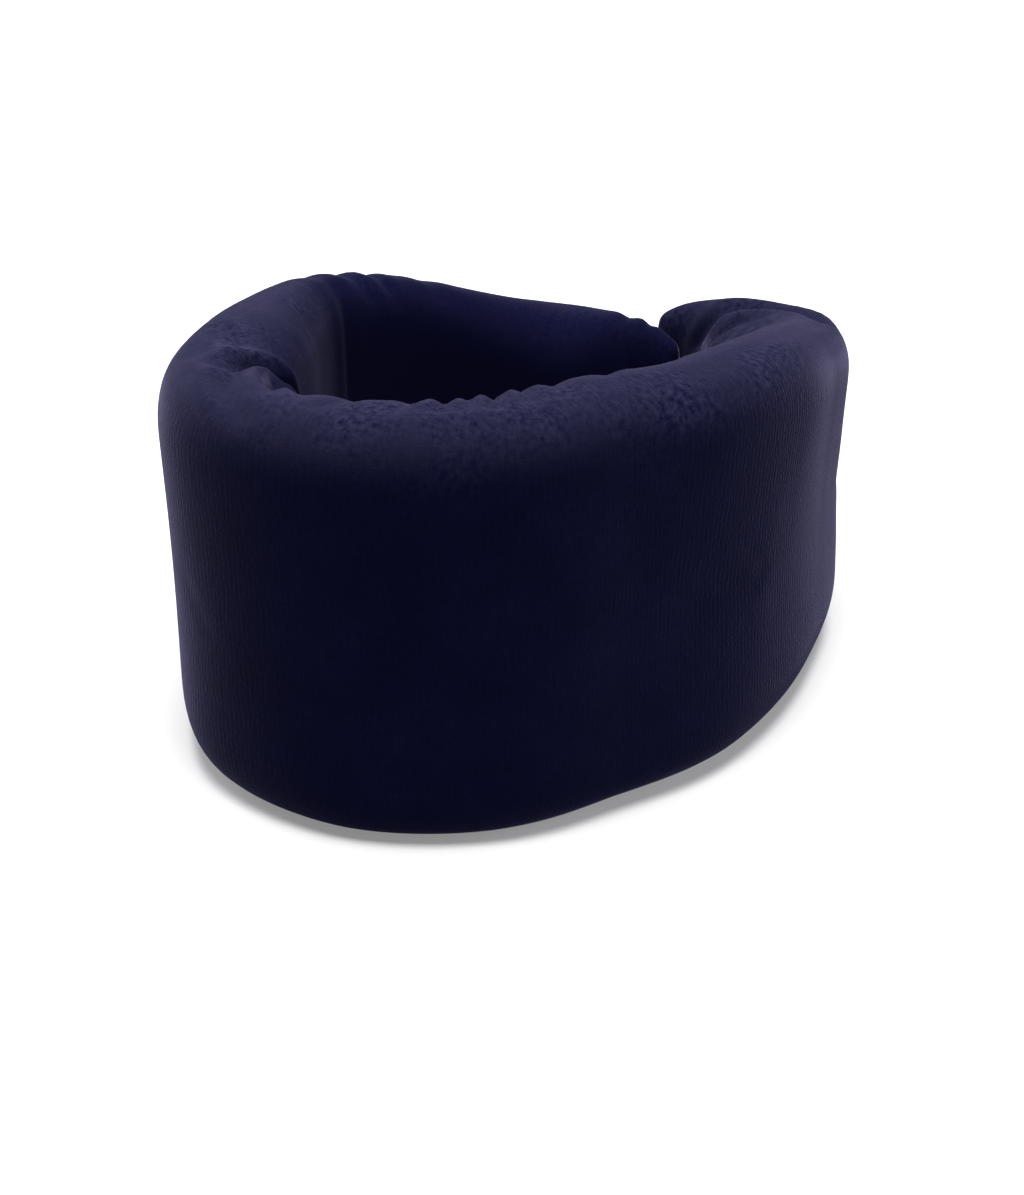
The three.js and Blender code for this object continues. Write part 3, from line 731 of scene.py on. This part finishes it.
def bent_yarn(name, radius, tall, turn, sides, steps):
    """A short bent yarn: a small ring raised from the origin and spun over into a loop or a hook."""
    bpy.ops.object.select_all(action="DESELECT")
    bpy.ops.mesh.primitive_circle_add(vertices=sides, radius=radius * MM, fill_type="NGON", calc_uvs=True)
    piece = bpy.context.object
    piece.name = name
    bend = tall * 0.42
    bpy.ops.object.mode_set(mode="EDIT")
    bpy.ops.mesh.select_all(action="SELECT")
    bpy.ops.mesh.extrude_region_move(TRANSFORM_OT_translate={"value": (0, 0, (tall - bend - radius) * MM)})
    bpy.ops.mesh.spin(steps=steps, angle=turn, center=(bend * MM, 0, (tall - bend - radius) * MM), axis=(0, 1, 0))
    bpy.ops.mesh.select_all(action="SELECT")
    bpy.ops.mesh.remove_doubles(threshold=0.000005)
    bpy.ops.mesh.normals_make_consistent(inside=False)
    bpy.ops.object.mode_set(mode="OBJECT")
    return piece


nylon = Finish("navy_loop_pile", {"Sheen Weight": 0.08, "Sheen Roughness": 0.4,
                                   "Sheen Tint": (0.72, 0.70, 1.0, 1), "Specular IOR Level": 0.15})
brushed = nylon.speckle(0.7, 3.0)
nylon.relief(brushed, 0.3)
# Partly painted sheen: the pile is lighter where its brushed fibres stand high in the bump; the large noise adds
# random tone.
nylon.feed("Base Color", nylon.blend(brushed + (nylon.speckle(8) - 0.5) * 0.5, LOOP_NAVY, LOOP_SHEEN))
nylon.feed("Roughness", 0.60 + brushed * 0.2)

pad_near = BAND_LENGTH - PAD_START
pad_far = pad_near - PAD_LENGTH
pad = strip("loop_pad_base", BAND_LINE, pad_far, pad_near, PAD_LOW, PAD_HIGH, WALL_HALF + GAP, PAD_BASE, PAD_CORNER)
finish_piece(pad, nylon, "loop", "left_half", "loop_pad")

chance = np.random.default_rng(7)
columns = np.arange(pad_far + 2.8, pad_near - 2.8, LOOP_PITCH)
rows = np.arange(PAD_LOW + 2.6, PAD_HIGH - 2.6, LOOP_PITCH)
s, z = (values.reshape(-1) for values in np.meshgrid(columns, rows))
s = s + chance.uniform(-0.5, 0.5, len(s))
z = z + chance.uniform(-0.5, 0.5, len(z))
pile = bent_yarn("loop_pad_pile", YARN, LOOP_TALL, math.radians(185), 4, 5)
copies(pile, BAND_LINE, s, WALL_HALF + GAP + PAD_BASE - 0.05, z, chance.uniform(0, math.tau, len(s)),
       chance.uniform(-0.35, 0.35, len(s)))
finish_piece(pile, nylon, "loop", "left_half", "loop_pad")


# ---------------------------------------------------------------------------------------------
# Strap: a navy woven tape, sewn to the outside of the right end. It runs over the binding, down
# onto the pad and round the outside of the left end, and it bends just past its sewn root.
# ---------------------------------------------------------------------------------------------
STRAP_LOW = 15.0
STRAP_HIGH = 55.0
STRAP_THICK = 1.4
STRAP_ROOT = 23.0
STRAP_REACH = 64.0
STRAP_CORNER = 9.0
STRAP_FULL = 72.0
HOOK_THICK = 0.9

over_tip = STRAP_THICK / 2 + BINDING_THICK + 3 * GAP
over_pad = WALL_HALF + PAD_THICK + HOOK_THICK + STRAP_THICK / 2 + 4 * GAP
route = []
for distance in (19, 13, 7, 2):
    here, normal, half = band_profile(float(distance))[:3]
    route.append((*(here[:2] + normal * (half + over_tip)), STRAP_FULL))
for distance in range(0, 85, 5):
    here, normal = path_frame(*BAND_LINE, BAND_LENGTH - PAD_START - 2 - distance)
    route.append((*(here[:2] + normal * over_pad), STRAP_FULL))
STRAP_LINE = smooth_path(route[::-1])
strap_from = STRAP_LINE[1][-1]
strap_length = STRAP_ROOT + GAP + STRAP_REACH
strap = strip("closing_strap", STRAP_LINE, strap_from - strap_length, strap_from, STRAP_LOW, STRAP_HIGH,
              -STRAP_THICK / 2, STRAP_THICK, STRAP_CORNER)
finish_piece(strap, tape, "tape", None, "strap_root", "strap_tape")
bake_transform(strap)


# ---------------------------------------------------------------------------------------------
# Hook patch: the stiff nylon half of the fastening, sewn inside the strap's free end. A thin base
# carries rows of moulded hooks that face the pad's loops, each row bent the other way from the next.
# ---------------------------------------------------------------------------------------------
HOOK_LOW = 18.5
HOOK_HIGH = 51.5
HOOK_START = 22.0
HOOK_SHORT = 8.0
HOOK_BASE = 0.45
HOOK_TALL = 0.42
HOOK_RADIUS = 0.09
HOOK_CORNER = 3.0
HOOK_ROW = 1.15
HOOK_STEP = 1.3
HOOK_NAVY = (0.0060, 0.0064, 0.0240, 1)
HOOK_WORN = (0.0170, 0.0175, 0.0500, 1)

moulded = Finish("navy_moulded_hooks", {"Specular IOR Level": 0.5})
worn = moulded.speckle(5.0, 3.0)
moulded.relief(moulded.speckle(0.5), 0.05)
moulded.feed("Base Color", moulded.blend(worn, HOOK_NAVY, HOOK_WORN))
moulded.feed("Roughness", 0.34 + worn * 0.2)

hook_out = -STRAP_THICK / 2 - GAP
hook_near = strap_from - STRAP_ROOT - HOOK_START
hook_far = strap_from - strap_length + HOOK_SHORT
patch = strip("hook_patch_base", STRAP_LINE, hook_far, hook_near, HOOK_LOW, HOOK_HIGH, hook_out - HOOK_BASE,
              HOOK_BASE + GAP, HOOK_CORNER)
finish_piece(patch, moulded, "hook", "strap", "hook_patch")
s, z = (values.reshape(-1) for values in np.meshgrid(np.arange(hook_far + 2.5, hook_near - 2.4, HOOK_STEP),
                                                    np.arange(HOOK_LOW + 2.4, HOOK_HIGH - 2.3, HOOK_ROW)))
hooks = bent_yarn("hook_patch_hooks", HOOK_RADIUS, HOOK_TALL, math.radians(205), 4, 6)
copies(hooks, STRAP_LINE, s, hook_out - HOOK_BASE + 0.03, z, math.pi * (np.rint(z / HOOK_ROW) % 2), 0.0, -1.0)
finish_piece(hooks, moulded, "hook", "strap", "hook_patch")


# ---------------------------------------------------------------------------------------------
# Seams: navy polyester thread in short even stitches, down both bindings, round the pad, round
# the strap's root and round the hook patch. One stitch is modelled, and copied along each seam.
# ---------------------------------------------------------------------------------------------
THREAD = 0.5
STITCH = 2.7
STITCH_STEP = 3.3
THREAD_DARK_AND_SHADED = (0.0060, 0.0062, 0.0240, 1)
THREAD_LIT = (0.0300, 0.0290, 0.0820, 1)

thread = Finish("navy_polyester_thread", {"Sheen Weight": 0.1, "Specular IOR Level": 0.45})
turned, along = (place * MM for place in thread.cloth_places())
ply = (turned * 4 + along * 2).wave()
thread.relief(ply, 0.08)
# Partly painted shade: the thread is darker in the grooves between its plies and lighter on them; the noise adds
# random tone.
thread.feed("Base Color", thread.blend(ply * 0.8 + (thread.speckle(6) - 0.5) * 0.4, THREAD_DARK_AND_SHADED, THREAD_LIT))
thread.feed("Roughness", 0.5 + ply * 0.1)


def seam(name, line, out, path, body, node, closed):
    """Stitches along the straight runs of a path of (s, z) corners, each lying on the surface."""
    bpy.ops.object.select_all(action="DESELECT")
    bpy.ops.mesh.primitive_uv_sphere_add(segments=8, ring_count=6, radius=0.5, calc_uvs=True)
    stitch = bpy.context.object
    stitch.name = name
    bpy.ops.object.mode_set(mode="EDIT")
    bpy.ops.mesh.select_all(action="SELECT")
    bpy.ops.transform.rotate(value=math.pi / 2, orient_axis="Y", center_override=(0, 0, 0))
    bpy.ops.transform.resize(value=(STITCH * MM, THREAD * MM, THREAD * 0.8 * MM), center_override=(0, 0, 0))
    bpy.ops.object.mode_set(mode="OBJECT")
    corners = list(path) + ([path[0]] if closed else [])
    spots = []
    for (s0, z0), (s1, z1) in zip(corners[:-1], corners[1:]):
        length = math.hypot(s1 - s0, z1 - z0)
        count = max(1, int(length / STITCH_STEP))
        for k in range(count):
            t = (k + 0.5) / count
            spots.append((s0 + (s1 - s0) * t, z0 + (z1 - z0) * t, math.atan2(z1 - z0, s1 - s0)))
    s, z, turn = np.array(spots).T
    lift = out(s) if callable(out) else out
    copies(stitch, line, s, lift, z, turn)
    return finish_piece(stitch, thread, "thread", body, node)


def box(start, stop, low, high):
    return [(start, low), (stop, low), (stop, high), (start, high)]


SIT = 0.12                       # how far a stitch's middle stands off the surface it holds
SEAM_IN = BINDING_REACH * 0.6    # the binding's seam lies this far from the end
inner_face = -(band_profile(SEAM_IN)[2] + GAP + BINDING_THICK + SIT)
for end, body, s in (("right", "right_half", SEAM_IN), ("left", "left_half", BAND_LENGTH - SEAM_IN)):
    foot, top = (float(value) for value in band_profile(0.0 if end == "right" else BAND_LENGTH)[3:])
    seam("end_seam_stitches_" + end, BAND_LINE, float(inner_face), [(s, foot + 8), (s, top - 8)], body,
         "end_seam_" + end, False)
seam("loop_pad_stitches", BAND_LINE, WALL_HALF + GAP + PAD_BASE + SIT,
     box(pad_far + 1.6, pad_near - 1.6, PAD_LOW + 1.4, PAD_HIGH - 1.4), "left_half", "loop_pad_seam", True)
seam("strap_root_stitches", STRAP_LINE, STRAP_THICK / 2 + SIT,
     box(strap_from - STRAP_ROOT + 6, strap_from - 2.5, STRAP_LOW + 3, STRAP_HIGH - 3), "right_half",
     "strap_root_seam", True)
seam("hook_patch_stitches", STRAP_LINE, STRAP_THICK / 2 + SIT,
     box(hook_far + 1.5, hook_near - 1.5, HOOK_LOW + 1.5, HOOK_HIGH - 1.5), "strap", "hook_patch_seam", True)


# ---------------------------------------------------------------------------------------------
# Studio: a plain pale floor, soft light from above and behind and from both sides, and the
# camera, which looks down on the front of the collar from its right.
# ---------------------------------------------------------------------------------------------
CAMERA_AZIMUTH = 25.0
CAMERA_ELEVATION = 26.5
CAMERA_DISTANCE = 0.75
CAMERA_AIM = Vector((0.00304, -0.00044, 0.0205))
CAMERA_LENS = 89.3
CAMERA_SENSOR = 36.0
FLOOR_WHITE = (0.46, 0.46, 0.47, 1)
FLOOR_WORN = (0.44, 0.44, 0.45, 1)
FLOOR_SIZE = 8
SKY = (0.80, 0.84, 1.0, 1)
SKY_STRENGTH = 0.08
BACKDROP = (0.88, 0.88, 0.90, 1)  # what the camera sees past the floor's edge. It lights nothing

turn, tilt = math.radians(CAMERA_AZIMUTH), math.radians(CAMERA_ELEVATION)
towards = Vector((math.sin(turn) * math.cos(tilt), -math.cos(turn) * math.cos(tilt), math.sin(tilt)))
bpy.ops.object.camera_add(location=CAMERA_AIM + towards * CAMERA_DISTANCE)
camera = bpy.context.object
camera.rotation_euler = towards.to_track_quat("Z", "Y").to_euler()
camera.data.lens = CAMERA_LENS
camera.data.sensor_width = CAMERA_SENSOR
bpy.context.scene.camera = camera

bpy.ops.object.select_all(action="DESELECT")
bpy.ops.mesh.primitive_plane_add(size=FLOOR_SIZE, location=(0, 0, 0))
floor = bpy.context.object
floor.name = "floor"
paper = Finish("white_paper", {"Roughness": 0.9, "Specular IOR Level": 0.1, "Emission Strength": 0.24,
                               "Emission Color": (1, 1, 1, 1)})
paper.feed("Base Color", paper.blend(paper.speckle(400, 1.0) * 0.1, FLOOR_WHITE, FLOOR_WORN))
floor.data.materials.append(paper.material)
floor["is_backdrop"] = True

for name, place, size, energy, colour in (
        ("light_above", (0.05, -0.15, 1.8), 1.0, 92, (1.0, 0.98, 0.96)),
        ("light_behind", (0.0, 1.6, 1.1), 1.4, 14, (0.98, 0.98, 1.0)),
        ("light_left", (-1.6, 0.35, 0.5), 1.0, 20, (0.95, 0.95, 1.0)),
        ("light_right", (1.7, 0.7, 0.5), 1.0, 15, (0.95, 0.95, 1.0))):
    bpy.ops.object.light_add(type="AREA", location=place)
    lamp = bpy.context.object
    lamp.name = name
    lamp.rotation_euler = Vector(place).to_track_quat("Z", "Y").to_euler()
    lamp.data.size = size
    lamp.data.energy = energy
    lamp.data.color = colour

world = bpy.data.worlds.new("studio")
world.use_nodes = True
sky = world.node_tree.nodes["Background"]
sky.inputs["Color"].default_value = SKY
sky.inputs["Strength"].default_value = SKY_STRENGTH
backdrop = world.node_tree.nodes.new("ShaderNodeBackground")
backdrop.inputs["Color"].default_value = BACKDROP
seen = world.node_tree.nodes.new("ShaderNodeLightPath")
either = world.node_tree.nodes.new("ShaderNodeMixShader")
world.node_tree.links.new(seen.outputs["Is Camera Ray"], either.inputs["Fac"])
world.node_tree.links.new(sky.outputs["Background"], either.inputs[1])
world.node_tree.links.new(backdrop.outputs["Background"], either.inputs[2])
world.node_tree.links.new(either.outputs["Shader"], world.node_tree.nodes["World Output"].inputs["Surface"])
bpy.context.scene.world = world
bpy.context.scene.view_settings.view_transform = "Standard"

low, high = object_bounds()
